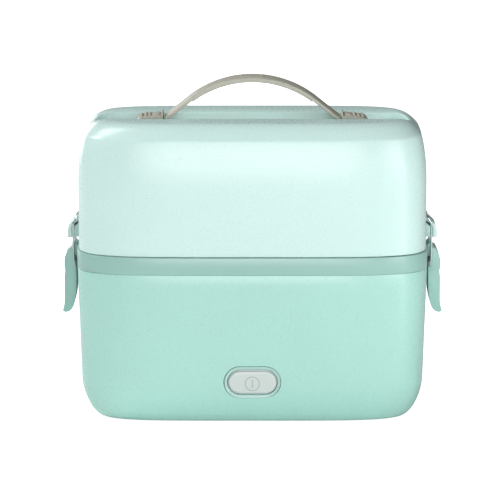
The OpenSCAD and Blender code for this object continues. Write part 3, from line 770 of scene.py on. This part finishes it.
def slider_piece(side, word):
    """The slider at one end of the strap: body, plate, neck, three ribs and a pad."""
    name, body_of = "slider_" + word, "handle_end_" + word
    outline = [(61, 199.6), (79, 199.6), (79.3, 201), (78.9, 203), (77.6, 204.7), (75, 205.7),
               (70, 206.4), (62, 206.8), (61, 206.8)]
    body = as_object(side_profile(outline, SLIDER_HALF, side), name, "handle_beige")
    carve(body, [box_cutter((60, -8.8, 199), (75.6, 8.8, 202), side)])
    soften(body, 0.6)
    fit(body, body_of, "handle_beige", "handle_slider_" + word)
    plate = [(60.3, 200), (61.5, 200), (61.6, 204), (61.9, 208.2), (61.6, 208.7), (61.1, 208.7),
             (60.8, 208.2)]
    neck = [(66, 196.2), (76, 196.2), (76, 202.6), (66, 202.6)]
    details = [("plate", plate, 9.6), ("neck", neck, 4)]
    for i, x in enumerate((69.8, 72.6, 75.4)):
        z = 206.35 - (x - 69.8) ** 1.5 * 0.06
        rib = [(x - 0.9, z - 1.2), (x + 0.7, z - 1.3), (x + 0.35, z + 0.8), (x - 0.05, z + 1.05),
               (x - 0.5, z + 0.9)]
        details.append((f"rib_{i + 1}", rib, 7.4))
    pad = [(62.8, 206.0), (68.2, 205.8), (67.6, 206.85), (64, 207.6), (63, 207.5)]
    details.append(("pad", pad, 6.2))
    for word_of, shape, half in details:
        detail = as_object(side_profile(shape, half, side), f"{name}_{word_of}", "handle_beige")
        soften(detail, 0.25, 2)
        fit(detail, body_of, "handle_beige")


for soft_piece in (strap_moulding(), strap_rim()):
    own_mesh(soft_piece)
slider_piece(-1, "left")
slider_piece(1, "right")


# ---------- side draw latches ----------
def wire_path(points, bend, steps=8):
    """The points of a wire's middle line, with each corner turned on a curve of the bend's size."""
    path = [points[0]]
    for before, corner, after in zip(points, points[1:], points[2:]):
        a, b = (before - corner).normalized(), (after - corner).normalized()
        turn = math.pi - a.angle(b)
        reach = min((before - corner).length, (after - corner).length) * 0.48
        cut = min(bend * math.tan(turn / 2), reach)
        start, end = corner + a * cut, corner + b * cut
        for i in range(steps + 1):
            t = i / steps
            path.append(start * (1 - t) ** 2 + corner * 2 * t * (1 - t) + end * t**2)
    return path + [points[-1]]


def wire_rings(path, radius):
    """Round rings along a wire's middle line, each turned as little as it can be from the last."""
    rings = []
    side = None
    for i, place in enumerate(path):
        ahead = (path[min(i + 1, len(path) - 1)] - path[max(i - 1, 0)]).normalized()
        side = ahead.orthogonal() if side is None else side - ahead * side.dot(ahead)
        side.normalize()
        other = ahead.cross(side)
        rings.append([place + (side * math.cos(t) + other * math.sin(t)) * radius for t in full_turn(16)])
    return rings


def latch_lever(side, word):
    """The lever: a curved plate with side walls that are set back below its step, hollow behind."""
    outline = [(123.6, 116), (124.6, 115.6), (127.7, 111.6), (128.5, 109.6), (128.9, 107), (129, 104),
               (129, 101.4), (128.6, 101), (128.6, 98.8), (129, 95), (129.1, 79), (129.5, 75.4),
               (130.4, 71.8), (130.3, 71.2), (129.4, 70.6), (127.7, 70.5), (126, 71.1), (124.3, 72.5),
               (123.1, 74.5), (122.3, 76.8), (121.6, 80), (121, 84.6), (120.7, 92), (120.7, 105.6),
               (121.9, 107), (121.9, 114.6), (122.6, 115.6)]
    lever = as_object(side_profile(outline, LEVER_HALF, side), f"lever_{word}_moulding", "band_mint")
    # the pocket behind the plate, with its shallow end, and the open top that clears the bracket
    hollow = [(118, 77), (124.6, 77), (124.6, 80), (127.4, 80), (127.4, 111.4), (131, 111.4), (131, 118),
              (118, 118)]
    cuts = [as_object(side_profile(hollow, POCKET_HALF, side), "hollow_cut")]
    # each side wall is set back below the step, and the cut runs out as it reaches it
    for way in (-1, 1):
        rings = []
        for z, inner in ((60, FLANK_HALF), (97, FLANK_HALF), (100.6, FLANK_HALF - 0.3)):
            corners = ((119, inner), (133, inner), (133, 12), (119, 12))
            rings.append([Vector((x * side, y * way, z)) for x, y in corners])
        cuts.append(as_object(loft(rings), "flank_cut"))
    carve(lever, cuts)
    soften(lever, 0.3)
    fit(lever, "lever_" + word, "band_mint", "latch_lever_" + word)


def latch_bail(side, word):
    """The bail: one bent wire from pivot to pivot, over the catch."""
    pivot_x, pivot_z = BAIL_PIVOT
    half = [(pivot_x, BAIL_STUB, pivot_z), (pivot_x, BAIL_HALF, pivot_z),
            (BAIL_LEG_X, BAIL_HALF, pivot_z + 6), (BAIL_LEG_X, BAIL_HALF, BAR_Z - 4.6),
            (BAR_X, BAIL_HALF, BAR_Z)]
    points = [Vector((x * side, -y, z)) for x, y, z in half]
    points += [Vector((x * side, y, z)) for x, y, z in half[::-1]]
    rings = wire_rings(wire_path(points, 1.8), BAIL_WIRE_R)
    wire = as_object(loft(rings), f"bail_{word}_wire", "bright_steel", 60)
    fit(wire, "bail_" + word, "bright_steel", "latch_bail_" + word)


def catch_pieces(side, word):
    """The catch on the lid: a hollow hook, with a core between its outer flap and the wall."""
    hook = [(LID_WALL_X, 137), (120.9, 135.3), (122.7, 134.1), (124.4, 132.9), (125.4, 131.7),
            (126.1, 130.1), (126.5, 128.2), (126.5, 123.2), (126, 122.7), (123.7, 122.7),
            (123.7, 129.8), (123, 131.4), (121.9, 132.5), (120.4, 133.5), (LID_WALL_X, 134.9)]
    catch = as_object(side_profile(hook, CATCH_HALF, side), f"catch_{word}_moulding", CATCH)
    soften(catch, 0.35)
    fit(catch, "lid", "lid_mint", "catch_" + word)
    block = [(LID_WALL_X, 122.8), (123.9, 122.8), (123.9, 128.2), (LID_WALL_X, 133.2)]
    core = as_object(side_profile(block, CATCH_CORE_HALF, side), f"catch_{word}_core", CATCH)
    soften(core, 0.3)
    fit(core, "lid", "lid_mint")


for latch_side, latch_word in ((-1, "left"), (1, "right")):
    latch_lever(latch_side, latch_word)
    latch_bail(latch_side, latch_word)
    catch_pieces(latch_side, latch_word)


# ---------- floor ----------
def lay_floor():
    """Matt white paper under the box; to the camera it also glows a little, so that it reads white."""
    made, tree = blank_material("matt_white_paper")
    rays = add_node(tree, "LightPath")
    paper = add_node(tree, "BsdfDiffuse", Color=linear("#f4f4f4"))
    glow = add_node(tree, "Emission", Color=linear("#ffffff"), Strength=0.93)
    both = add_node(tree, "AddShader", i0=paper.outputs[0], i1=glow.outputs[0])
    seen = add_node(tree, "MixShader", i0=rays.outputs["Is Camera Ray"], i1=paper.outputs[0],
                    i2=both.outputs[0])
    add_node(tree, "OutputMaterial", Surface=seen.outputs[0])
    bm = bmesh.new()
    bmesh.ops.create_grid(bm, x_segments=1, y_segments=1, size=4000)
    as_object(bm, "floor", made)


lay_floor()
